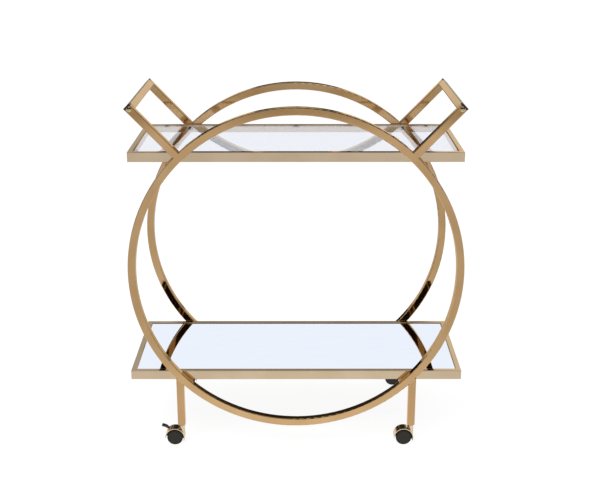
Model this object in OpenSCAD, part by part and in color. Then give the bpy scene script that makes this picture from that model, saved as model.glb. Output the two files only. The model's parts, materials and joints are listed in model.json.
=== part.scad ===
// Two-tier bar cart: two upright hoops carry a glass tray and a mirror tray, with a push
// handle at each end and four hooded swivel casters. X runs along the trays, Y from the
// front to the back, and Z up from the floor. The origin is on the floor, under the centre.

/* [Hoops] */
// Outer diameter of each hoop
hoop_d = 824; // [816:1:830]
// Height of the hoops' centre above the floor
hoop_z = 464; // [462:1:466]
// Side of the square tube of the hoops, arms, crossbars and legs
tube = 19; // [18:0.5:20]
// Wall thickness of all the tubes
wall = 1.2; // [1:0.1:1.5]
// Outer corner radius of the square tube
tube_corner = 2; // [1.6:0.1:2.5]

/* [Trays] */
// Length of the top tray
top_tray_w = 805; // [790:1:820]
// Length of the bottom tray
bottom_tray_w = 839; // [825:1:850]
// Depth of both trays, which is the gap between the hoops
tray_depth = 336; // [320:1:350]
// Width of the tray rails, seen from above
rail_w = 13; // [12:0.5:15]
// Height of the tray rails
rail_h = 24; // [22:0.5:26]
// Outer corner radius of the tray rails
rail_corner = 1.2; // [1:0.1:1.5]
// Height of the top tray's upper edge above the floor
top_tray_z = 765; // [755:1:770]
// Height of the bottom tray's upper edge above the floor
bottom_tray_z = 198; // [190:1:205]
// Thickness of the glass pane and of the mirror pane
pane_t = 5; // [4:0.5:6]
// How far the panes lie below the rails' upper edges
pane_recess = 2; // [1:0.5:3]
// Gap between a pane and the rails all round it
pane_gap = 1; // [0.5:0.5:2]

/* [Handles] */
// Slope of the handle arms above the horizontal, in degrees
arm_angle = 46.3; // [44:0.1:48]
// Length of a handle arm outside the hoop, with its plug
arm_reach = 161; // [150:1:170]
// Thickness of the plug's head on an arm's end
plug_t = 5; // [3:0.5:5]

/* [Legs] */
// Distance from the middle of the cart to a leg's centre
leg_x = 294; // [290:1:296]
// Height of the legs' lower ends above the floor
leg_z = 54; // [53.5:0.5:56]

/* [Casters] */
// Diameter of the wheels
wheel_d = 40; // [39:0.5:40.5]
// Width of one wheel; each caster has two
wheel_w = 10; // [9:0.5:11]
// Distance from the swivel axis back to the wheel axle
trail = 18; // [17.5:0.5:19]
// Outer radius of the hood round the wheels
hood_r = 25; // [25:0.5:26]
// Where a brake lever's curve begins, as an angle round the curve's centre
lever_from = 38; // [35:1:41]

/* [Hidden] */
$fn = 64;
loose = 0.05;          // radial clearance of a pin that turns in its hole
weld_gap = 0.02;       // gap left for the weld where a tube end meets a hoop

hoop_r = hoop_d / 2;
hoop_mid_r = hoop_r - tube / 2;
hoop_y = tray_depth / 2 + tube / 2;

bolt_r = 3;            // M6 shanks
bolt_hole_r = 3.2;
thread_r = 3.05;
bolt_head_r = 6.2;
bolt_head_h = 3.4;
driver_hole_r = 6.8;   // hole in a rail's inner wall that lets a bolt and its key through
nut_h = 5;
nut_r = 5.77;

tip_r = hoop_r + arm_reach;
crossbar_r = tip_r - tube / 2;
plug_in = tube - 2 * wall - 0.2;
plug_corner = 0.8;
plug_grip = tube / 2 - bolt_hole_r - plug_t; // a plug stops short of the handle bolt
insert_len = 12;

bumper_t = 1;
bumper_r = 5;
tab_w = 20;
tab_reach = 14;
tab_drop = 10;
tab_t = 2;
tab_x = 345;

wheel_z = wheel_d / 2;
web_t = 4;             // middle wall of a hood, between its two wheels
wheel_y0 = web_t / 2 + 0.6;
wheel_edge = 1.5;      // rounding of a wheel's rim
wheel_cap_t = 2;       // what is left of a wheel's outer face at the end of its bore
groove_r = wheel_z - 2.8;
groove_w = 1;
groove_t = 0.6;
hood_half_w = wheel_y0 + wheel_w + 0.4;
hood_in_r = wheel_z + 3;
hood_drop = 0.36;      // slope of the hood's front edge below the axle
axle_r = 2.5;
axle_seat_r = 6;
axle_half = wheel_y0 + wheel_w - wheel_cap_t - 0.5;
boss_r = 7.5;
boss_bottom = wheel_z + 4;
boss_top = leg_z - 2.5;
stem_r = 4;
stem_bottom = 40;
stem_in = 20;          // how far a stem reaches up into its leg
hex_r = 7.5;
leg_insert_len = 22;
ring_z = 43;           // height of the snap ring that holds a stem in its hood
ring_t = 1;
ring_out_r = stem_r + 0.6;
ring_in_r = stem_r - 0.55;
ring_play = 0.1;       // room above and below a snap ring

lever_pin_r = 1;
lever_angle = 125;     // where the lever's pin sits round the hood, from straight ahead
housing_half = 5.5;
housing_t = 7;
lever_hub_r = 3;
lever_web_w = 7;       // the lever's width inside its slot
lever_slot_w = 7.6;
lever_pad_w = 10;      // its width where the foot presses
lever_pad_from = 15;   // angle along the curve at which it widens
lever_t = 4;
lever_sweep_r = 27;
lever_sweep = 43;

corners = [["front_left", -1, -1], ["front_right", 1, -1],
           ["back_left", -1, 1], ["back_right", 1, 1]];
left_corners = [corners[0], corners[2]];
sides = [["left", -1], ["right", 1]];

// ---- Shared shapes ----

// Rectangle with rounded corners, centred
module soft_rect(w, h, r) {
    square([w - 2 * r, h], center = true);
    square([w, h - 2 * r], center = true);
    for (sx = [-1, 1], sy = [-1, 1])
        translate([sx * (w / 2 - r), sy * (h / 2 - r)]) circle(r = r);
}

// Cross-section of a rectangular tube
module tube_section(w, h, r) {
    difference() {
        soft_rect(w, h, r);
        square([w - 2 * wall, h - 2 * wall], center = true);
    }
}

module square_tube(length) {
    linear_extrude(length) tube_section(tube, tube, tube_corner);
}

// Cylinder along Y, centred on Y = 0
module y_cylinder(r, length) {
    rotate([90, 0, 0]) cylinder(r = r, h = length, center = true);
}

module at_corner(c) {
    translate([c[1] * leg_x, c[2] * hoop_y, 0]) children();
}

// Everything inside a hoop's outer circle
module hoop_disc() {
    translate([0, 0, hoop_z]) y_cylinder(hoop_r + weld_gap, 4 * hoop_y, $fn = 360);
}

// The four places where a hoop crosses the trays, at the rails' mid-height
module at_crossings() {
    for (z = [top_tray_z - rail_h / 2, bottom_tray_z - rail_h / 2]) {
        x = sqrt(pow(hoop_mid_r, 2) - pow(z - hoop_z, 2));
        for (s = [-1, 1]) translate([s * x, 0, z]) children();
    }
}

// A hex socket button-head screw along +Y: its head's seat is at Y = 0
module button_bolt(length) {
    dome = bolt_head_h - 0.6;
    dome_r = (pow(bolt_head_r, 2) + pow(dome, 2)) / (2 * dome);
    rotate([-90, 0, 0]) difference() {
        union() {
            cylinder(r = bolt_r, h = length);
            intersection() {
                translate([0, 0, -bolt_head_h]) cylinder(r = bolt_head_r, h = bolt_head_h);
                translate([0, 0, dome_r - bolt_head_h]) sphere(r = dome_r);
            }
        }
        translate([0, 0, -bolt_head_h - 1]) cylinder(r = 2.3, h = 3, $fn = 6);
    }
}

// ---- Hoops ----

// Hoop at +Y, with the bolt holes in the wall that faces the trays
module hoop() {
    color("burlywood") difference() {
        translate([0, hoop_y, hoop_z]) rotate([90, 0, 0])
            rotate_extrude($fn = 180) translate([hoop_mid_r, 0])
                tube_section(tube, tube, tube_corner);
        at_crossings() translate([0, tray_depth / 2, 0]) y_cylinder(bolt_hole_r, 4 * wall);
    }
}

module hoop_weld_nuts() {
    color("silver") for (side = [0, 1]) mirror([0, side, 0]) at_crossings()
        translate([0, tray_depth / 2 + wall + nut_h / 2, 0]) difference() {
            rotate([90, 0, 0]) cylinder(r = nut_r, h = nut_h, center = true, $fn = 6);
            y_cylinder(thread_r, 2 * nut_h);
        }
}

module tray_bolts() {
    color("dimgray") for (side = [0, 1]) mirror([0, side, 0]) at_crossings()
        translate([0, tray_depth / 2 - wall, 0]) button_bolt(2 * wall + nut_h + 1);
}

// ---- Trays ----

// Outline of a whole tray of length w, with its outer corners rounded
module tray_outline(w, top_z) {
    translate([0, 0, top_z - 2 * rail_h]) linear_extrude(3 * rail_h)
        soft_rect(w, tray_depth, rail_corner);
}

// Long rail at +Y of a tray of length w, mitred, with its bolt holes
module long_rail(w, top_z) {
    color("tan") difference() {
        intersection() {
            tray_outline(w, top_z);
            translate([-w / 2, (tray_depth - rail_w) / 2, top_z - rail_h / 2])
                rotate([90, 0, 90]) linear_extrude(w)
                    tube_section(rail_w, rail_h, rail_corner);
            translate([0, 0, top_z - 2 * rail_h]) linear_extrude(3 * rail_h) polygon([
                [-w / 2, tray_depth / 2], [w / 2, tray_depth / 2],
                [w / 2 - rail_w, tray_depth / 2 - rail_w],
                [-w / 2 + rail_w, tray_depth / 2 - rail_w]]);
        }
        at_crossings() {
            translate([0, tray_depth / 2, 0]) y_cylinder(bolt_hole_r, 4 * wall);
            translate([0, tray_depth / 2 - rail_w, 0]) y_cylinder(driver_hole_r, 4 * wall);
        }
    }
}

// Short rail at +X of a tray of length w, mitred
module short_rail(w, top_z) {
    d = tray_depth / 2;
    color("tan") intersection() {
        tray_outline(w, top_z);
        translate([(w - rail_w) / 2, d, top_z - rail_h / 2])
            rotate([90, 0, 0]) linear_extrude(tray_depth)
                tube_section(rail_w, rail_h, rail_corner);
        translate([0, 0, top_z - 2 * rail_h]) linear_extrude(3 * rail_h) polygon([
            [w / 2, -d], [w / 2, d], [w / 2 - rail_w, d - rail_w], [w / 2 - rail_w, -d + rail_w]]);
    }
}

// Places of the tabs along a tray's long rails: its children point along +Y, at the rail
module at_tabs() {
    for (side = [0, 1]) mirror([0, side, 0]) for (x = [-tab_x, 0, tab_x])
        translate([x, tray_depth / 2 - rail_w, 0]) children();
}

// Angle tabs on the rails' inner walls
module tabs(top_z) {
    seat_z = top_z - pane_recess - pane_t - bumper_t;
    color("tan") at_tabs() translate([-tab_w / 2, 0, seat_z]) {
        translate([0, -tab_reach, -tab_t]) cube([tab_w, tab_reach, tab_t]);
        translate([0, -tab_t, -tab_drop]) cube([tab_w, tab_t, tab_drop]);
    }
}

// Clear pads between the tabs and the pane
module bumpers(top_z) {
    seat_z = top_z - pane_recess - pane_t - bumper_t;
    color("white") at_tabs() translate([0, -tab_reach / 2, seat_z])
        cylinder(r = bumper_r, h = bumper_t);
}

module pane(w, top_z) {
    edge = 2 * (rail_w + pane_gap);
    translate([0, 0, top_z - pane_recess - pane_t / 2])
        cube([w - edge, tray_depth - edge, pane_t], center = true);
}

// ---- Handles ----

// Turns its children about the hoops' centre so that +X points up along a right-hand arm
module along_arm() {
    translate([0, 0, hoop_z]) rotate([0, -arm_angle, 0]) children();
}

// Right-hand arm at +Y: butts on the hoop, drilled near its tip for the handle bolt
module arm() {
    color("burlywood") difference() {
        along_arm() translate([0, hoop_y, 0]) difference() {
            translate([hoop_r - tube, 0, 0]) rotate([0, 90, 0])
                square_tube(arm_reach + tube - plug_t);
            translate([crossbar_r, 0, 0]) y_cylinder(bolt_hole_r, 2 * tube);
        }
        hoop_disc();
    }
}

// Right-hand crossbar, between the front arm and the back arm
module crossbar() {
    color("burlywood") along_arm() translate([crossbar_r, tray_depth / 2, 0])
        rotate([90, 0, 0]) square_tube(tray_depth);
}

// Runs its children at the four arm tips, with +Y out of the cart and +X along the arm
module at_tips() {
    for (mx = [0, 1], my = [0, 1]) mirror([mx, 0, 0]) mirror([0, my, 0]) along_arm() children();
}

module crossbar_inserts() {
    color("silver") at_tips() translate([crossbar_r, tray_depth / 2 - insert_len / 2, 0])
        difference() {
            rotate([90, 0, 0]) linear_extrude(insert_len, center = true)
                soft_rect(plug_in, plug_in, plug_corner);
            y_cylinder(thread_r, 2 * insert_len);
        }
}

module arm_plugs() {
    color("black") at_tips() translate([tip_r, hoop_y, 0]) rotate([0, -90, 0]) {
        linear_extrude(plug_t) soft_rect(tube, tube, tube_corner);
        linear_extrude(plug_t + plug_grip) soft_rect(plug_in, plug_in, plug_corner);
    }
}

module handle_bolts() {
    color("goldenrod") at_tips() translate([crossbar_r, tray_depth / 2 + tube, 0])
        rotate([0, 0, 180]) button_bolt(tube + insert_len - 2);
}

// ---- Legs ----

// Leg at corner c: its top is coped to the hoop's outer curve
module leg(c) {
    color("burlywood") difference() {
        at_corner(c) translate([0, 0, leg_z]) square_tube(bottom_tray_z - leg_z);
        hoop_disc();
    }
}

module leg_inserts() {
    color("dimgray") for (c = corners) at_corner(c) translate([0, 0, leg_z]) difference() {
        linear_extrude(leg_insert_len) soft_rect(plug_in, plug_in, plug_corner);
        translate([0, 0, -1]) cylinder(r = stem_r + loose, h = leg_insert_len + 2);
    }
}

// ---- Casters, drawn with the swivel axis on Z and the wheels trailing towards -X ----

module at_axle() {
    translate([-trail, 0, wheel_z]) children();
}

module stem(c) {
    flange_z = boss_top + 0.5;
    color("silver") at_corner(c) difference() {
        union() {
            translate([0, 0, stem_bottom])
                cylinder(r = stem_r, h = leg_z + stem_in - stem_bottom);
            translate([0, 0, flange_z]) cylinder(r = hex_r, h = leg_z - flange_z, $fn = 6);
        }
        translate([0, 0, ring_z - ring_play]) difference() {
            cylinder(r = stem_r + 1, h = ring_t + 2 * ring_play);
            translate([0, 0, -1]) cylinder(r = ring_in_r - loose, h = ring_t + 2);
        }
    }
}

module stem_snap_rings() {
    color("dimgray") for (c = corners) at_corner(c) translate([0, 0, ring_z]) difference() {
        cylinder(r = ring_out_r, h = ring_t);
        translate([0, 0, -1]) cylinder(r = ring_in_r, h = ring_t + 2);
        translate([0, -1, -1]) cube([2 * stem_r, 2, ring_t + 2]);
    }
}

// Place of the brake lever's pin; +X points out of the hood
module at_lever_pin() {
    at_axle() rotate([0, -lever_angle, 0]) translate([hood_r, 0, 0]) children();
}

// Half-round outline of a hood: back edge level with the axle, front edge a little lower
module hood_outline() {
    reach = 2 * hood_r;
    intersection() {
        circle(r = hood_r, $fn = 96);
        polygon([[-reach, 0], [0, 0], [reach, -hood_drop * reach],
                 [reach, reach], [-reach, reach]]);
    }
    circle(r = axle_seat_r);
}

module hood(c) {
    braked = c[1] < 0;
    color("burlywood") at_corner(c) difference() {
        union() {
            at_axle() rotate([90, 0, 0])
                linear_extrude(2 * hood_half_w, center = true) hood_outline();
            translate([0, 0, boss_bottom]) cylinder(r = boss_r, h = boss_top - boss_bottom);
            if (braked) at_lever_pin() translate([-1, 0, 0])
                cube([housing_t, 2 * housing_half, 2 * housing_half], center = true);
        }
        for (s = [-1, 1]) at_axle() translate([0, s * (web_t + hood_half_w) / 2, 0])
            y_cylinder(hood_in_r, hood_half_w);
        at_axle() y_cylinder(axle_r, 4 * hood_half_w);
        translate([0, 0, stem_bottom - 0.3]) cylinder(r = stem_r + loose, h = boss_top);
        translate([0, 0, ring_z - 2 * ring_play])
            cylinder(r = ring_out_r + 0.2, h = ring_t + 4 * ring_play);
        if (braked) at_lever_pin() {
            y_cylinder(lever_pin_r, 4 * housing_half);
            translate([0, -lever_slot_w / 2, -lever_hub_r - 1])
                cube([4 * lever_hub_r, lever_slot_w, 4 * lever_hub_r]);
            y_cylinder(lever_hub_r + 1, lever_slot_w);
        }
    }
}

module axle(c) {
    color("silver") at_corner(c) at_axle() y_cylinder(axle_r, 2 * axle_half);
}

// One wheel; side is -1 for the near wheel and 1 for the far one
module wheel(c, side) {
    color("dimgray") at_corner(c) at_axle() rotate([-90 * side, 0, 0])
        translate([0, 0, wheel_y0]) difference() {
            rotate_extrude($fn = 96) {
                square([wheel_z - wheel_edge, wheel_w]);
                translate([0, wheel_edge]) square([wheel_z, wheel_w - 2 * wheel_edge]);
                for (y = [wheel_edge, wheel_w - wheel_edge])
                    translate([wheel_z - wheel_edge, y]) circle(r = wheel_edge);
            }
            translate([0, 0, -1]) cylinder(r = axle_r + loose, h = wheel_w - wheel_cap_t + 1);
            translate([0, 0, wheel_w - groove_t]) difference() {
                cylinder(r = groove_r, h = 2 * groove_t);
                translate([0, 0, -1]) cylinder(r = groove_r - groove_w, h = 4);
            }
        }
}

// Curved finger lever, with its hub on the pin
module lever(c) {
    to = lever_from + lever_sweep;
    color("dimgray") at_corner(c) at_lever_pin() rotate([0, lever_angle, 0]) difference() {
        union() {
            y_cylinder(lever_hub_r, lever_web_w);
            rotate([90, 0, 0]) {
                linear_extrude(lever_web_w, center = true) lever_outline(lever_from, to);
                linear_extrude(lever_pad_w, center = true)
                    lever_outline(lever_from + lever_pad_from, to);
            }
        }
        y_cylinder(lever_pin_r + loose, 2 * lever_pad_w);
    }
}

// Band along the finger's curve, from angle a to angle b, with a round tip
module lever_outline(a, b) {
    far = 2 * lever_sweep_r;
    translate(-lever_sweep_r * [cos(lever_from), sin(lever_from)]) {
        intersection() {
            difference() {
                circle(r = lever_sweep_r + lever_t / 2);
                circle(r = lever_sweep_r - lever_t / 2);
            }
            polygon([[0, 0], far * [cos(a), sin(a)], far * [cos(b), sin(b)]]);
        }
        rotate(b) translate([lever_sweep_r, 0]) circle(r = lever_t / 2);
    }
}

module lever_pin(c) {
    color("silver") at_corner(c) at_lever_pin() y_cylinder(lever_pin_r, 2 * housing_half);
}

// ---- Assembly ----

mirror([0, 1, 0]) hoop();  // front_hoop
hoop();  // back_hoop
hoop_weld_nuts();
tray_bolts();

mirror([0, 1, 0]) long_rail(top_tray_w, top_tray_z);  // top_front_rail
long_rail(top_tray_w, top_tray_z);  // top_back_rail
mirror([1, 0, 0]) short_rail(top_tray_w, top_tray_z);  // top_left_rail
short_rail(top_tray_w, top_tray_z);  // top_right_rail
mirror([0, 1, 0]) long_rail(bottom_tray_w, bottom_tray_z);  // bottom_front_rail
long_rail(bottom_tray_w, bottom_tray_z);  // bottom_back_rail
mirror([1, 0, 0]) short_rail(bottom_tray_w, bottom_tray_z);  // bottom_left_rail
short_rail(bottom_tray_w, bottom_tray_z);  // bottom_right_rail
tabs(top_tray_z);  // top_tabs
tabs(bottom_tray_z);  // bottom_tabs
bumpers(top_tray_z);  // top_bumpers
bumpers(bottom_tray_z);  // bottom_bumpers
color("lightcyan", 0.4) pane(top_tray_w, top_tray_z);  // glass_pane
color("whitesmoke") pane(bottom_tray_w, bottom_tray_z);  // mirror_pane

for (s = sides) {
    flip = [s[1] < 0 ? 1 : 0, 0, 0];
    mirror(flip) mirror([0, 1, 0]) arm();
    mirror(flip) arm();
    mirror(flip) crossbar();
}
crossbar_inserts();
arm_plugs();
handle_bolts();

leg_inserts();
stem_snap_rings();
for (c = corners) {
    leg(c);
    stem(c);
    hood(c);
    axle(c);
    wheel(c, -1);
    wheel(c, 1);
}
for (c = left_corners) {
    lever(c);
    lever_pin(c);
}
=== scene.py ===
# %% [markdown]
# # A bar cart in polished champagne gold
#
# The cart is two upright hoops of square tube with a glass tray and a mirror tray between
# them, a push handle at each end, and four hooded casters. All of its metal, glass and
# wheels come from a CAD model, which is loaded below as a fixed frame. They could be
# modelled again here, but the CAD already has the exact sizes and the bodies that move.
# So this lesson keeps it, gives the parts their finishes, adds what a maker leaves behind
# (ground welds and broken edges), and lights them as a studio would.

# %% Load the frame
import json
import math

import bmesh
import bpy
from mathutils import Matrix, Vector


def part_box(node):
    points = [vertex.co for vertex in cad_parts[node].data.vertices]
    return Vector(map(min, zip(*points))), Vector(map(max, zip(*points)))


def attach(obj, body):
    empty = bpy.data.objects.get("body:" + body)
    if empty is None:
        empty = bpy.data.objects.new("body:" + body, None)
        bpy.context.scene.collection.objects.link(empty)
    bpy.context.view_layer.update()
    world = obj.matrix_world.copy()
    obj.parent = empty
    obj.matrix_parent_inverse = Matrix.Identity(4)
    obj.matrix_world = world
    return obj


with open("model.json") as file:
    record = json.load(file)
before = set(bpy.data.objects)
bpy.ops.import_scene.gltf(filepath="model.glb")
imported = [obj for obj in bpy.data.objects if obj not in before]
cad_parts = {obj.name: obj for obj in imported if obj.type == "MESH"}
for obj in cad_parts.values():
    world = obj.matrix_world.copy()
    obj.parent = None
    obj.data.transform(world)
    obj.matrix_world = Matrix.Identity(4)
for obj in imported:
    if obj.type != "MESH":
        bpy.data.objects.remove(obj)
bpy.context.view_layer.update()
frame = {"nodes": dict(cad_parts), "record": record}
nodes = frame["nodes"]

# %% [markdown]
# ## The camera
#
# A cart like this is shown from standing height, a few steps back, so that both trays
# show their tops. A constraint could aim the camera at the cart's middle, but a person's
# view leans and turns a little, so the angles are given as numbers. The place is counted
# from the front hoop, because the hoop is the largest and most exact shape on the cart.

# %% Place the camera
hoop_low, hoop_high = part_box("front_hoop")
hoop_centre = (hoop_low + hoop_high) / 2
camera_back = 2.4715
camera_up = 0.8771
camera_right = 0.0064
camera_tilt = math.radians(18.073)
camera_turn = math.radians(-0.073)
lens_mm = 64.3
sensor_mm = 36.0

camera = bpy.data.objects.new("camera", bpy.data.cameras.new("camera"))
camera.data.sensor_width = sensor_mm
camera.data.lens = lens_mm
camera.location = (camera_right, hoop_low.y - camera_back, hoop_centre.z + camera_up)
camera.rotation_euler = (math.pi / 2 - camera_tilt, 0.0, camera_turn)
bpy.context.scene.collection.objects.link(camera)
bpy.context.scene.camera = camera
print("camera at", [round(v, 3) for v in camera.location])

# %% [markdown]
# ## Values on shader sockets
#
# A finish is a formula: so much haze here, a deeper tone there. Its nodes could be placed
# and linked by hand, but then the formula is lost among the links. Two small functions do
# that work instead. One feeds a socket, and the other makes a Math node.

# %% Feed a socket, add a Math node
def plug(tree, socket, value):
    """Feeds a socket with another node's output, a number or a colour."""
    if isinstance(value, Wire):
        tree.links.new(value.socket, socket)
    elif socket.type == "RGBA":
        socket.default_value = (*value, 1.0)
    else:
        socket.default_value = value


def calculate(tree, operation, *values):
    """One Math node on wires and numbers."""
    node = tree.nodes.new("ShaderNodeMath")
    node.operation = operation
    for socket, value in zip(node.inputs, values):
        plug(tree, socket, value)
    return Wire(tree, node.outputs[0])


print("sockets can be fed and Math nodes added")

# %% [markdown]
# ## Arithmetic on shader sockets
#
# `Wire` wraps an output socket and turns `+`, `-`, `*` and `/` into Math nodes, so that a
# finish reads as an ordinary expression. The plain number may also stand on the left, and
# `1 - mask` works. Colours don't go through it, because a Math node would turn them grey.

# %% Wire: a socket that can be calculated with
class Wire:
    """An output socket whose values can be used in arithmetic."""

    def __init__(self, tree, socket):
        self.tree = tree
        self.socket = socket

    def __add__(self, other):
        return calculate(self.tree, "ADD", self, other)

    def __radd__(self, other):
        return calculate(self.tree, "ADD", other, self)

    def __sub__(self, other):
        return calculate(self.tree, "SUBTRACT", self, other)

    def __rsub__(self, other):
        return calculate(self.tree, "SUBTRACT", other, self)

    def __mul__(self, other):
        return calculate(self.tree, "MULTIPLY", self, other)

    def __rmul__(self, other):
        return calculate(self.tree, "MULTIPLY", other, self)

    def __truediv__(self, other):
        return calculate(self.tree, "DIVIDE", self, other)

    def __neg__(self):
        return calculate(self.tree, "MULTIPLY", self, -1.0)

    def function(self, operation, *others):
        """Any other Math node, with this wire as its first value."""
        return calculate(self.tree, operation, self, *others)


print("sockets can be added, subtracted, multiplied and divided")

# %% [markdown]
# ## One way to add a node
#
# `Finish` is a material with a single method, `add`, for every node that isn't arithmetic.
# It takes the node's type, then its settings, then the values or wires of its sockets.
# The settings go first, because some of them change which sockets a node has.

# %% Finish: a material under construction
def set_stops(ramp, stops):
    """Gives a colour ramp its stops, as (place, colour) pairs."""
    while len(ramp.elements) < len(stops):
        ramp.elements.new(0.5)
    for element, (place, colour) in zip(ramp.elements, stops):
        element.position = place
        element.color = (*colour, 1.0)


class Finish:
    """A node tree being built, for a material or for the world."""

    def __init__(self, name, owner=None):
        self.owner = owner or bpy.data.materials.new(name)
        self.owner.use_nodes = True
        self.tree = self.owner.node_tree
        self.tree.nodes.clear()

    def add(self, kind, settings=None, sockets=None, out=0):
        """Adds a node and returns one of its outputs, if it has any."""
        node = self.tree.nodes.new("ShaderNode" + kind)
        for name, value in (settings or {}).items():
            if name == "stops":
                set_stops(node.color_ramp, value)
            else:
                setattr(node, name, value)
        for name, value in (sockets or {}).items():
            plug(self.tree, node.inputs[name], value)
        return Wire(self.tree, node.outputs[out]) if node.outputs else None

    def blend(self, amount, first, second):
        """Mixes two colours by an amount from 0 to 1."""
        return self.add("Mix", {"data_type": "RGBA"}, {0: amount, 6: first, 7: second}, 2)

    def shine(self, surface):
        """Ends the material in this shader and returns the material."""
        self.add("OutputMaterial", {}, {"Surface": surface})
        return self.owner


print("materials can be written as short recipes")

# %% [markdown]
# ## Marks that every surface shares
#
# No real surface is one colour with one gloss. Image textures could carry the marks, but
# they need files, show seams and have one fixed size. Each finish below starts instead
# from noise in the part's own coordinates, so that a mark stays on its part when the part
# moves. `speckle` gives noise of a stated grain in metres, `steps` turns it into patches
# with soft borders, `ripple` turns a height into a bump, and `facing` tells the top of a
# part from its edges.

# %% Noise, steps, bumps and directions
def speckle(finish, grain, detail=3.0, stretch=None):
    """Noise from 0 to 1 whose blotches are about grain metres across."""
    place = finish.add("TexCoord", out="Object")
    if stretch:
        place = finish.add("Mapping", {}, {"Vector": place, "Scale": stretch})
    sockets = {"Vector": place, "Scale": 1.0 / grain, "Detail": detail}
    return finish.add("TexNoise", {}, sockets)


def steps(finish, value, low, high):
    """Spreads a value from low to high over 0 to 1, with soft ends."""
    settings = {"interpolation_type": "SMOOTHSTEP"}
    return finish.add("MapRange", settings, {"Value": value, "From Min": low, "From Max": high})


def ripple(finish, height, depth):
    """A normal that follows a height; depth is in metres."""
    return finish.add("Bump", {}, {"Height": height, "Distance": depth, "Strength": 1.0})


def facing(finish, axis):
    """How far the surface faces along an axis of its part, from -1 to 1."""
    normal = finish.add("TexCoord", out="Normal")
    return finish.add("SeparateXYZ", {}, {"Vector": normal}, axis)


print("noise, steps, bumps and directions are ready")

# %% [markdown]
# ## Champagne gold plate
#
# The tubes are steel, polished, plated and lacquered. A yellow paint or one plain metal
# could stand for that, but plate is a metal, whose colour is the colour of its reflection,
# and three things keep it from looking like a perfect mirror: the lacquer's very shallow
# orange peel, hair-fine polishing lines, and hazy patches where the plate is a little
# duller or where hands have touched it. At a grazing view a plain metal turns white, and
# tint keeps the plate golden there, as lacquer does. One recipe makes five tones of it, some
# lighter and some darker: hoops and arms, tray rails, legs, crossbars and bolts.

# %% Gold recipe
lacquer_tint = (1.0, 0.86, 0.66)


def gold_finish(name, light, deep, gloss, peel=0.000006):
    """Plated metal between a light and a deep tone; peel is the lacquer's relief."""
    finish = Finish(name)
    cloud = steps(finish, speckle(finish, grain=0.09), low=0.35, high=0.68)
    haze = steps(finish, speckle(finish, grain=0.022, detail=5.0), low=0.52, high=0.8)
    hair = speckle(finish, grain=0.0009, detail=2.0)
    orange_peel = speckle(finish, grain=0.0045, detail=1.0)
    sockets = {
        "Base Color": finish.blend(cloud, deep, light),
        "Metallic": 1.0,
        "Roughness": gloss + 0.05 * haze + 0.015 * hair,
        "Normal": ripple(finish, orange_peel + 0.1 * hair, peel),
        "Specular Tint": lacquer_tint,
    }
    return finish.shine(finish.add("BsdfPrincipled", {}, sockets))


tube_gold = gold_finish("tube_gold", (0.70, 0.455, 0.225), (0.64, 0.405, 0.19), gloss=0.035)
rail_gold = gold_finish(
    "rail_gold", (0.74, 0.575, 0.385), (0.69, 0.53, 0.345), gloss=0.04, peel=0.000003)
leg_gold = gold_finish("leg_gold", (0.62, 0.385, 0.185), (0.58, 0.355, 0.165), gloss=0.035)
bar_gold = gold_finish("bar_gold", (0.76, 0.56, 0.35), (0.71, 0.52, 0.32), gloss=0.04)
bolt_gold = gold_finish("bolt_gold", (0.80, 0.66, 0.42), (0.70, 0.55, 0.32), gloss=0.07)
print("five gold finishes")

# %% [markdown]
# ### Where a hood's inside begins
#
# A caster's hood is plated outside, and its inside lies in shade, so the inner faces are given
# painted shade, nearly black and matt, which shows as a dark ring between the wheel and the hood's
# rim. The inner faces could get a
# material of their own, but the CAD meshes aren't changed here, so the finish finds the
# inside by distance from the wheels' axle. All four casters trail the same way. Shifted by
# that trail, their axles lie equally far to the left and right of the cart's middle, and
# folding the length there puts all four at one place.

# %% Distance from the axle
leg_low, leg_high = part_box("front_right_leg")
wheel_low, wheel_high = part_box("front_right_wheel_near")
leg_x = (leg_low.x + leg_high.x) / 2
axle_x = (wheel_low.x + wheel_high.x) / 2
axle_z = (wheel_low.z + wheel_high.z) / 2


def axle_distance(finish):
    """How far a point of a hood is from the axle under it."""
    place = finish.add("TexCoord", out="Object")
    x = finish.add("SeparateXYZ", {}, {"Vector": place}, "X")
    z = finish.add("SeparateXYZ", {}, {"Vector": place}, "Z")
    along = (x + (leg_x - axle_x)).function("ABSOLUTE") - leg_x
    up = z - axle_z
    return (along * along + up * up).function("SQRT")


print("the axles are", round(axle_z, 4), "m up and", round(leg_x - axle_x, 4), "m off the stems")

# %% [markdown]
# ### The caster hoods
#
# A hood is a zinc casting, and a casting takes its plate less smoothly than a drawn tube.
# It could share the tubes' finish, but a paler, softer gold with a coarser ripple tells
# the two apart. The wheels stand on the floor, so the axle's height is also their radius, and the
# painted shade inside the hood ends a little outside of it.

# %% Hood recipe
# Where the painted shade inside the hood begins, just past the wheel's rim.
shade_gap = 0.0030
shade_border = 0.0004


def hood_finish():
    """Gold outside, and painted shade inside: nearly black, matt and not metal."""
    finish = Finish("hood_gold")
    shade_edge = axle_z + shade_gap
    outside = steps(finish, axle_distance(finish), shade_edge, shade_edge + shade_border)
    cloud = steps(finish, speckle(finish, grain=0.02), low=0.35, high=0.68)
    haze = steps(finish, speckle(finish, grain=0.006, detail=5.0), low=0.5, high=0.8)
    plate = finish.blend(cloud, (0.72, 0.57, 0.40), (0.80, 0.66, 0.48))
    # Painted shade: the hood's inner faces are made nearly black in place of the shade inside the
    # hood.
    painted_shade = finish.blend(haze, (0.010, 0.008, 0.006), (0.03, 0.026, 0.022))
    sockets = {
        "Base Color": finish.blend(outside, painted_shade, plate),
        "Metallic": outside,
        "Roughness": 0.14 + 0.10 * haze + 0.30 * (1 - outside),
        "Normal": ripple(finish, speckle(finish, grain=0.003, detail=2.0), depth=0.00002),
        "Specular Tint": lacquer_tint,
    }
    return finish.shine(finish.add("BsdfPrincipled", {}, sockets))


hood_gold = hood_finish()
print("hood finish")

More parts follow.
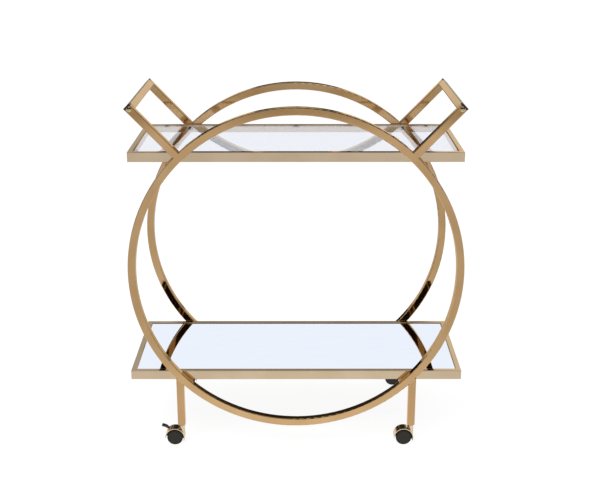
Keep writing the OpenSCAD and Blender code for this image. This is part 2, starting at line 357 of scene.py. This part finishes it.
# %% [markdown]
# ## Zinc plated steel
#
# The hidden fasteners, the stems and the axles are bright zinc. A plain grey metal could
# do for such small parts, but zinc grows in crystals and dulls in spots. Voronoi cells
# give the crystals their outlines, and noise gives the bloom.

# %% Zinc recipe
crystals_per_metre = 900.0


def zinc_finish():
    """Bright zinc with a bluish spangle."""
    finish = Finish("zinc_steel")
    place = finish.add("TexCoord", out="Object")
    spangle = finish.add("TexVoronoi", {}, {"Vector": place, "Scale": crystals_per_metre})
    bloom = steps(finish, speckle(finish, grain=0.004, detail=4.0), low=0.45, high=0.75)
    sockets = {
        "Base Color": finish.blend(bloom, (0.60, 0.61, 0.62), (0.42, 0.42, 0.40)),
        "Metallic": 1.0,
        "Roughness": 0.24 + 0.18 * bloom,
        "Normal": ripple(finish, spangle, depth=0.00002),
    }
    return finish.shine(finish.add("BsdfPrincipled", {}, sockets))


zinc = zinc_finish()
print("zinc finish")

# %% [markdown]
# ## Black mouldings
#
# The brake levers and the plugs in the arm ends are injection moulded nylon and
# polypropylene. Pure black would be the short way, but moulded black plastic is a very
# dark warm grey with a fine spark-eroded grain, and handling rubs it paler and less even.
# One recipe serves both, with its own tones and gloss for each.

# %% Moulded plastic recipe
mould_grain = 0.0006
mould_relief = 0.00005


def moulded(name, colour, worn, gloss):
    """Dark moulded plastic with a fine grain and rubbed patches."""
    finish = Finish(name)
    rubbed = steps(finish, speckle(finish, grain=0.006, detail=4.0), low=0.46, high=0.72)
    grit = speckle(finish, mould_grain, detail=2.0)
    sockets = {
        "Base Color": finish.blend(0.6 * rubbed, colour, worn),
        "Roughness": gloss + 0.14 * rubbed + 0.08 * grit,
        "Normal": ripple(finish, grit, mould_relief),
        "Specular IOR Level": 0.45,
    }
    return finish.shine(finish.add("BsdfPrincipled", {}, sockets))


plug_black = moulded("plug_black", (0.010, 0.009, 0.008), (0.02, 0.018, 0.016), gloss=0.30)
lever_black = moulded("lever_black", (0.022, 0.021, 0.020), (0.04, 0.038, 0.035), gloss=0.33)
print("two plain mouldings")

# %% [markdown]
# ### The wheels
#
# A caster wheel is one moulding, but its rolling tread and its flat face look different:
# the tread is darker and scuffed matt, and the face keeps its sheen. They could be two
# materials on one mesh. The surface normal can tell them apart instead, because every
# wheel's axle runs along the cart's depth, and that needs no change to the mesh.

# %% Wheel recipe
wheel_grain = 0.0005


def wheel_finish():
    """Nylon with a matt tread and a slightly paler face."""
    finish = Finish("wheel_nylon")
    face = steps(finish, facing(finish, "Y").function("ABSOLUTE"), low=0.75, high=0.95)
    dust = steps(finish, speckle(finish, grain=0.003, detail=5.0), low=0.48, high=0.8)
    tread = finish.blend(dust, (0.006, 0.005, 0.004), (0.022, 0.020, 0.018))
    cover = finish.blend(0.4 * dust, (0.018, 0.015, 0.010), (0.028, 0.024, 0.017))
    grit = speckle(finish, wheel_grain, detail=2.0)
    sockets = {
        "Base Color": finish.blend(face, tread, cover),
        "Roughness": 0.44 - 0.10 * face + 0.15 * dust,
        "Normal": ripple(finish, grit, mould_relief),
        "Specular IOR Level": 0.3,
    }
    return finish.shine(finish.add("BsdfPrincipled", {}, sockets))


wheel_black = wheel_finish()
print("wheel finish")

# %% [markdown]
# ## Clear glass
#
# The top pane is 5 mm float glass with polished edges. A see-through colour with some
# alpha would be quicker, but it wouldn't bend or reflect light, so the pane is real glass
# with its own refraction. Clear glass is only clear through its thickness: along its
# length the iron in it shows as green, so the edges get a green tint and the faces a faint
# cool one. Strokes of a cloth shade that tint very slightly, and the face waves a little,
# as float glass does.

# %% Glass recipe
edge_green = (0.35, 0.62, 0.52)
cloth_strokes = (1.0, 3.0, 1.0)


def glass_finish():
    """Clear float glass, green at its edges."""
    finish = Finish("clear_glass")
    face = steps(finish, facing(finish, "Z").function("ABSOLUTE"), low=0.4, high=0.8)
    strokes = speckle(finish, grain=0.05, detail=4.0, stretch=cloth_strokes)
    wiped = steps(finish, strokes, low=0.5, high=0.85)
    clear = finish.blend(wiped, (0.85, 0.86, 0.895), (0.83, 0.845, 0.88))
    sockets = {
        "Base Color": finish.blend(face, edge_green, clear),
        "Roughness": 0.04 * (1 - face),
        "Normal": ripple(finish, speckle(finish, grain=0.16, detail=1.0), depth=0.00003),
        "IOR": 1.52,
        "Transmission Weight": 1.0,
    }
    return finish.shine(finish.add("BsdfPrincipled", {}, sockets))


clear_glass = glass_finish()
print("glass finish")

# %% [markdown]
# ## Mirror glass
#
# The lower pane is a mirror: glass silvered underneath and painted on the back. It could
# be built as clear glass over a metal sheet, but such a thin pair only makes noise and
# double images. Seen from above it is all reflection, so its upper face is a nearly white
# metal. Its edges are green glass, and its underside is backing paint with the marks of a roller,
# made nearly black, which also paints in the shade under the tray.

# %% Mirror recipe
dark_edge_green = (0.16, 0.36, 0.29)
roller_strokes = (1.0, 0.2, 1.0)


def mirror_finish():
    """Silver above, green at the edges, and below backing paint made nearly black as painted
    shade.
    """
    finish = Finish("mirror_glass")
    upward = facing(finish, "Z")
    silver = steps(finish, upward, low=0.7, high=0.9)
    paint = steps(finish, -upward, low=0.7, high=0.9)
    strokes = speckle(finish, grain=0.06, detail=4.0, stretch=cloth_strokes)
    wiped = steps(finish, strokes, low=0.5, high=0.85)
    roller = speckle(finish, grain=0.006, detail=3.0, stretch=roller_strokes)
    # The backing paint is real, but its near black also paints in the shade under the tray.
    back = finish.blend(roller, (0.010, 0.009, 0.008), (0.020, 0.018, 0.017))
    edge = finish.blend(paint, dark_edge_green, back)
    bright = finish.blend(wiped, (0.935, 0.955, 0.975), (0.905, 0.93, 0.955))
    sockets = {
        "Base Color": finish.blend(silver, edge, bright),
        "Metallic": silver,
        "Roughness": 0.12 * (1 - silver) + 0.4 * paint,
        "Normal": ripple(finish, roller * paint, depth=0.0002),
        "Specular IOR Level": 0.05,
    }
    return finish.shine(finish.add("BsdfPrincipled", {}, sockets))


mirror_glass = mirror_finish()
print("mirror finish")

# %% [markdown]
# ## Clear pads
#
# Small soft pads keep the panes off the steel tabs. They are cast polyurethane, cloudy
# rather than clear once they are pressed. Full glass would be too clean for them and
# subsurface scattering too slow for their size, so they are partly see-through.

# %% Pad recipe
def pad_finish():
    """Milky clear polyurethane."""
    finish = Finish("clear_pad")
    cloud = steps(finish, speckle(finish, grain=0.002, detail=3.0), low=0.4, high=0.7)
    sockets = {
        "Base Color": finish.blend(cloud, (0.78, 0.80, 0.79), (0.88, 0.89, 0.88)),
        "Roughness": 0.18 + 0.12 * cloud,
        "Normal": ripple(finish, cloud, depth=0.00005),
        "Transmission Weight": 0.6,
        "IOR": 1.47,
    }
    return finish.shine(finish.add("BsdfPrincipled", {}, sockets))


clear_pad = pad_finish()
print("pad finish")

# %% [markdown]
# ## Dress the parts
#
# Each part could be given its finish by name, in a long list. The record already says
# which slot each part belongs to, so the finishes are given by slot. Only the golds need
# more: rails, tabs, legs and crossbars share the tubes' slot but not their tone of gold, and the
# last word of a part's name tells which of them it is.

# %% Give every part its finish
finish_of_slot = {
    "champagne_gold": tube_gold,
    "gold_hood": hood_gold,
    "gold_bolt": bolt_gold,
    "zinc_steel": zinc,
    "clear_pad": clear_pad,
    "clear_glass": clear_glass,
    "mirror_glass": mirror_glass,
    "black_plastic": plug_black,
    "wheel_black": wheel_black,
    "lever_black": lever_black,
}
gold_of_tone = {"rail": rail_gold, "tabs": rail_gold, "leg": leg_gold, "crossbar": bar_gold}
for part in frame["record"]["subparts"]:
    last_word = part["node"].rsplit("_", 1)[-1]
    material = gold_of_tone.get(last_word, finish_of_slot[part["material_slot"]])
    mesh = nodes[part["node"]].data
    mesh.materials.clear()
    mesh.materials.append(material)
print("dressed", len(nodes), "parts")

# %% [markdown]
# ## Ground welds
#
# Where a leg or a handle arm butts against a hoop, the hoop's rounded corner would leave a
# groove. On the real cart that groove is filled with weld and ground flush before plating.
# A boolean could join the tubes, but it would fuse parts that have to stay apart. So each
# fill is a piece of its own: a short curved bar, from the flat of the hoop's face to just
# past the hoop's rim, closed at its ends so that it has a real thickness.

# %% One weld bar
hoop_radius = (hoop_high.x - hoop_low.x) / 2
tube_corner = 0.002
weld_depth = 0.0011
weld_overlap = 0.0015
weld_proud = 0.00004
weld_slices = 16


def weld_bar(shape, start, end, face, inward):
    """One filled seam on a tube face at y = face, between two angles round the hoop."""
    rings = []
    for i in range(weld_slices + 1):
        angle = start + (end - start) * i / weld_slices
        ring = []
        for radius, y in (
            (hoop_radius - tube_corner, face - inward * weld_proud),
            (hoop_radius + weld_overlap, face - inward * weld_proud),
            (hoop_radius + weld_overlap, face + inward * weld_depth),
            (hoop_radius - tube_corner / 2, face + inward * weld_depth),
        ):
            x = radius * math.cos(angle)
            z = hoop_centre.z + radius * math.sin(angle)
            ring.append(shape.verts.new((x, y, z)))
        rings.append(ring)
    for before, after in zip(rings, rings[1:]):
        for k in range(4):
            shape.faces.new((before[k], before[(k + 1) % 4], after[(k + 1) % 4], after[k]))
    shape.faces.new(rings[0])
    shape.faces.new(rings[-1][::-1])


print("weld bars on a radius of", round(hoop_radius, 4))

# %% [markdown]
# ### The sixteen seams
#
# Each face of each hoop has four seams: two legs and two arms. Their angles could be read
# off a drawing, but then a change to the cart would leave them behind, so they are worked
# out from the boxes of the leg and the arm. A seam is as long as the flat of the tube's
# face, without its two rounded corners. The left half of the hoop mirrors the right one.

# %% Weld seams
half_flat = (leg_high.x - leg_low.x) / 2 - tube_corner


def weld_angles():
    """Start and end angles of the four seams on one hoop face."""
    arm_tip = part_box("right_front_arm")[1]
    slope = math.atan2(arm_tip.z - hoop_centre.z, arm_tip.x)
    half = half_flat / hoop_radius
    leg_from = -math.acos((leg_x - half_flat) / hoop_radius)
    leg_to = -math.acos((leg_x + half_flat) / hoop_radius)
    right = [(slope - half, slope + half), (leg_from, leg_to)]
    return right + [(math.pi - a, math.pi - b) for a, b in right]


def weld_mesh():
    """All the seams on both faces of both hoops."""
    shape = bmesh.new()
    for hoop in ("front_hoop", "back_hoop"):
        low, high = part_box(hoop)
        for start, end in weld_angles():
            weld_bar(shape, start, end, low.y, 1)
            weld_bar(shape, start, end, high.y, -1)
    bmesh.ops.recalc_face_normals(shape, faces=shape.faces)
    mesh = bpy.data.meshes.new("ground_welds")
    shape.to_mesh(mesh)
    shape.free()
    return mesh


welds = bpy.data.objects.new("ground_welds", weld_mesh())
welds.data.materials.append(tube_gold)
bpy.context.scene.collection.objects.link(welds)
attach(welds, "frame")
print("ground welds:", len(welds.data.polygons), "faces, half a flat is", round(half_flat, 5))

# %% [markdown]
# ## Broken edges
#
# Nothing that is cut or moulded keeps a razor edge. The panes have ground arrises, and the
# plugs and levers have small radii from their moulds. The edges could be rounded by hand
# in edit mode, but a bevel modifier does it without touching the CAD meshes, and each edge
# then catches its own thin line of light.

# %% Bevel the cut and moulded parts
arrises = {
    "glass_pane": 0.0006,
    "mirror_pane": 0.0006,
    "arm_plugs": 0.0004,
    "front_left_lever": 0.0006,
    "back_left_lever": 0.0006,
}
sharpest_kept = math.radians(40.0)
for name, width in arrises.items():
    bevel = nodes[name].modifiers.new("arris", "BEVEL")
    bevel.width = width
    bevel.segments = 2
    bevel.limit_method = "ANGLE"
    bevel.angle_limit = sharpest_kept
print("bevelled", len(arrises), "parts")

# %% [markdown]
# ## The studio floor
#
# The floor is white paper, but polished metal shows whatever stands around it, and a room
# that is white on all sides would leave the gold flat. Grey cards could be laid round the
# cart, out of sight. One floor with two faces is simpler. Looked at, straight or through
# the glass, it is white and takes the soft shadows. Reflected in metal, it is a glow that
# changes with distance from the cart, bright below it and dim far off.

# %% Floor
floor_half = 30.0
glow_reach = 8.0
paper_white = 0.90
glow_stops = [
    (0.0, (0.94, 0.97, 1.02)),
    (0.05, (0.90, 0.91, 0.93)),
    (0.12, (0.68, 0.69, 0.71)),
    (0.20, (0.63, 0.64, 0.67)),
    (0.40, (0.68, 0.69, 0.72)),
    (0.50, (0.74, 0.73, 0.75)),
    (0.55, (0.58, 0.58, 0.60)),
    (0.59, (0.46, 0.43, 0.36)),
    (0.62, (0.53, 0.56, 0.61)),
    (0.80, (0.42, 0.44, 0.46)),
    (1.0, (0.30, 0.32, 0.35)),
]


def floor_mesh():
    """A large square with its face upwards."""
    shape = bmesh.new()
    corners = [shape.verts.new((x * floor_half, y * floor_half, 0.0))
               for x, y in ((-1, -1), (1, -1), (1, 1), (-1, 1))]
    shape.faces.new(corners)
    mesh = bpy.data.meshes.new("floor")
    shape.to_mesh(mesh)
    shape.free()
    return mesh


def floor_finish():
    """White paper to look at, and a fading glow to reflect."""
    finish = Finish("floor_paper")
    place = finish.add("NewGeometry", out="Position")
    distance = finish.add("VectorMath", {"operation": "LENGTH"}, {0: place}, "Value")
    glow = finish.add("ValToRGB", {"stops": glow_stops}, {"Fac": distance / glow_reach})
    reflected = finish.add("Emission", {}, {"Color": glow, "Strength": 1.0})
    fibres = finish.blend(speckle(finish, grain=0.004), (0.17, 0.17, 0.17), (0.19, 0.19, 0.19))
    paper = finish.add("BsdfDiffuse", {}, {"Color": fibres})
    white = finish.add("Emission", {}, {"Color": (1.0, 1.0, 1.0), "Strength": paper_white})
    shown = finish.add("AddShader", {}, {0: white, 1: paper})
    # Seen by gold through the glass pane, the floor is still a reflection.
    looked_at = finish.add("LightPath", out="Is Camera Ray")
    through = finish.add("LightPath", out="Is Transmission Ray")
    bounced = finish.add("LightPath", out="Glossy Depth").function("MINIMUM", 1.0)
    direct = looked_at.function("MAXIMUM", through * (1 - bounced))
    return finish.shine(finish.add("MixShader", {}, {0: direct, 1: reflected, 2: shown}))


floor = bpy.data.objects.new("floor", floor_mesh())
floor.data.materials.append(floor_finish())
bpy.context.scene.collection.objects.link(floor)
print("floor laid,", 2 * floor_half, "m across")

# %% [markdown]
# ## The walls of the studio
#
# Real screens and black cloths could stand round the cart as planes, each with its own
# light. A world shader does the same without any object that could get into a side view.
# It works in degrees: the bearing of a ray, from 0 straight behind the cart to 180 in
# front of it, and its height above the horizon. A screen is a window in one of the two or
# in both.

# %% Bearings, heights and windows
def directions(finish):
    """Bearing from straight behind the cart and height above the horizon, in degrees."""
    way = finish.add("TexCoord", out="Generated")
    across = finish.add("SeparateXYZ", {}, {"Vector": way}, "X")
    along = finish.add("SeparateXYZ", {}, {"Vector": way}, "Y")
    rise = finish.add("SeparateXYZ", {}, {"Vector": way}, "Z")
    bearing = across.function("ARCTAN2", along) * math.degrees(1.0)
    height = rise.function("ARCSINE") * math.degrees(1.0)
    return bearing, height


def window(finish, value, low, high, soft):
    """1 between low and high, fading to 0 over a soft margin."""
    rise = steps(finish, value, low - soft, low + soft)
    fall = steps(finish, value, high - soft, high + soft)
    return rise * (1 - fall)


front_strength = 0.85


def front_light(finish, turned, height):
    """The lit band low in front of the cart."""
    band = window(finish, turned, low=125.0, high=200.0, soft=8.0)
    return front_strength * (band * window(finish, height, low=-9.0, high=11.6, soft=0.4))


def overhead(finish, height):
    """The pale ceiling: 1 straight up and 0 on the walls."""
    return steps(finish, height, low=50.0, high=72.0)


print("the room can be drawn in degrees")

# %% [markdown]
# ### What the gold reflects
#
# Gold looks rich when it shows pale and nearly black side by side. Behind the cart stand
# pale screens with dark gaps between them, the left one cooler towards its top, with a dim
# wall above them and a thin lamp low in the middle. The front of the room is dark, but for
# one band near the horizon, so the lower inner sides of the hoops go nearly black. The
# ceiling is pale. A ready-made map of a real studio could replace all this, but a few
# windows are easier to move until each part of the cart reads well.

# %% The room for metal
room_dark = (0.008, 0.005, 0.003)
screen_pale = (0.77, 0.76, 0.76)
screen_cool = (0.50, 0.52, 0.57)
ceiling_pale = (0.90, 0.90, 0.90)
side_strength = 0.8
lamp_strength = 0.6
high_wall_strength = 0.42


def metal_room(finish, bearing, turned, height):
    """Pale screens, a lamp and a ceiling in a dark room."""
    left_screen = window(finish, bearing, low=-11.4, high=-7.2, soft=0.8)
    right_screen = window(finish, bearing, low=7.2, high=28.0, soft=1.0)
    side_screens = window(finish, turned, low=50.0, high=100.0, soft=10.0)
    lamp_width = window(finish, turned, low=0.0, high=7.0, soft=1.0)
    lamp = lamp_width * window(finish, height, low=10.1, high=11.6, soft=0.4)
    above_floor = steps(finish, height, low=-5.0, high=-2.0)
    screens = (left_screen + right_screen + side_strength * side_screens) * above_floor
    lit = screens + lamp_strength * lamp + front_light(finish, turned, height)
    straight_behind = 1 - steps(finish, turned, low=55.0, high=65.0)
    high_wall = high_wall_strength * (straight_behind * steps(finish, height, low=16.0, high=24.0))
    wall = finish.blend(lit.function("MAXIMUM", high_wall), room_dark, screen_pale)
    cool_part = left_screen * steps(finish, height, low=10.6, high=12.0)
    wall = finish.blend(cool_part, wall, screen_cool)
    return finish.blend(overhead(finish, height), wall, ceiling_pale)


print("a room for metal")

# %% [markdown]
# ### What the panes reflect
#
# The mirror and the glass are perfectly sharp, and in them the same screens would stand as
# hard bars. Frosting the panes could hide the bars but would also blur the hoops. So sharp
# rays see an open pale sky, a little bluer towards the horizon. Only where gold shows the
# mirror does the front of the room stay dark, which keeps the lower insides of the hoops
# nearly black. Such a ray has been reflected twice, and its glossy depth tells it apart.

# %% The room for glass and mirror
sky_low = (0.86, 0.90, 0.99)
sky_high = (0.93, 0.96, 1.02)


def pane_room(finish, turned, height):
    """A pale sky, with a dark front from the second reflection on."""
    sky = finish.blend(steps(finish, height, low=8.0, high=40.0), sky_low, sky_high)
    bounces = finish.add("LightPath", out="Glossy Depth")
    again = (bounces - 1).function("MINIMUM", 1.0).function("MAXIMUM", 0.0)
    front = steps(finish, turned, low=135.0, high=155.0) * (1 - overhead(finish, height))
    unlit = again * front * (1 - front_light(finish, turned, height))
    return finish.blend(unlit, sky, room_dark)


print("a room for the panes")

# %% [markdown]
# ### The world
#
# The world joins these rooms by kind of ray. Sharp reflections get the panes' room, other
# reflections the metal's, and matt surfaces an even grey fill. What is looked at directly
# or through the glass is white, like the floor. Lamps in a closed white room could light
# it all alike, but then nothing in the metal could be dark.

# %% World
fill_grey = (0.72, 0.72, 0.72)
backdrop_white = (1.0, 1.0, 1.0)


def world_finish():
    """White to look at; a lit studio with a dark front to reflect."""
    world = bpy.data.worlds.new("studio")
    bpy.context.scene.world = world
    finish = Finish("studio", world)
    bearing, height = directions(finish)
    turned = bearing.function("ABSOLUTE")
    metal = metal_room(finish, bearing, turned, height)
    panes = pane_room(finish, turned, height)
    colour = finish.blend(finish.add("LightPath", out="Is Singular Ray"), metal, panes)
    colour = finish.blend(finish.add("LightPath", out="Is Diffuse Ray"), colour, fill_grey)
    looked_at = finish.add("LightPath", out="Is Camera Ray")
    through = finish.add("LightPath", out="Is Transmission Ray")
    colour = finish.blend(looked_at.function("MAXIMUM", through), colour, backdrop_white)
    light = finish.add("Background", {}, {"Color": colour, "Strength": 1.0})
    finish.add("OutputWorld", {}, {"Surface": light})


world_finish()
print("world lit")

# %% [markdown]
# ## The soft light
#
# One large soft light hangs over the front of the cart. It gives the black mouldings their
# shape and lays a faint shadow under the casters. A sun or a small lamp would do the same
# with hard edges, so it is a wide disc. It is hidden from the camera, from reflections and
# from rays that come through the glass, or it would show as a hot spot in the gold.

# %% Key light
key_place = Vector((-1.0, -1.6, 3.0))
key_target = Vector((0.0, 0.0, 0.4))
key_width = 2.4
key_watts = 60.0

key = bpy.data.objects.new("key_light", bpy.data.lights.new("key_light", "AREA"))
key.data.shape = "DISK"
key.data.size = key_width
key.data.energy = key_watts
key.location = key_place
key.rotation_euler = (key_target - key_place).to_track_quat("-Z", "Y").to_euler()
key.visible_glossy = False
key.visible_transmission = False
key.visible_camera = False
bpy.context.scene.collection.objects.link(key)
bpy.context.scene.view_settings.view_transform = "Standard"
print("key light hung at", list(key_place))
